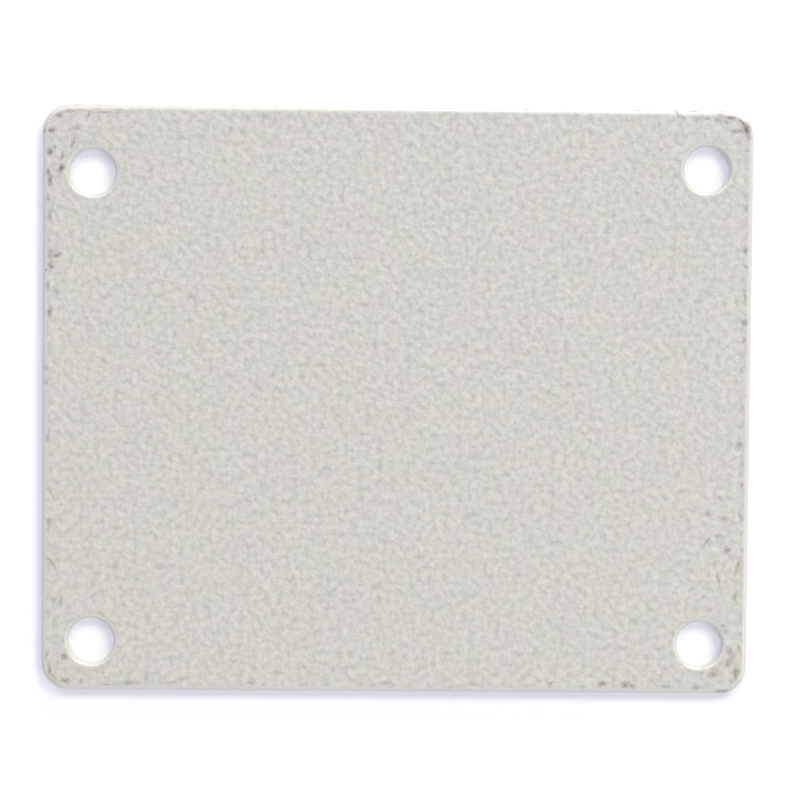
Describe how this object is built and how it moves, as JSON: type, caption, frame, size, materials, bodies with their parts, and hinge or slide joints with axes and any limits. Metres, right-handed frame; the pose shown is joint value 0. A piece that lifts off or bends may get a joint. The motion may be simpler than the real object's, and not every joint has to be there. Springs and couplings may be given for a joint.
{
  "type": "sewing machine back cover",
  "caption": "Flat rectangular steel cover plate with rounded corners, softened edges, pale hammered paint on its face and a screw hole in each corner.",
  "frame": {"origin": "middle of the plate's back, which lies on the table", "axes": "+X along the long side to the right, +Y to the upper side, +Z out of the painted face"},
  "size_m": [0.073, 0.0604, 0.0015],
  "materials": {
    "hammered_paint": "pale warm grey hammered paint, satin, with small dark pits along its edges"
  },
  "bodies": {
    "root": {"cover_plate": "hammered_paint"}
  },
  "joints": []
}
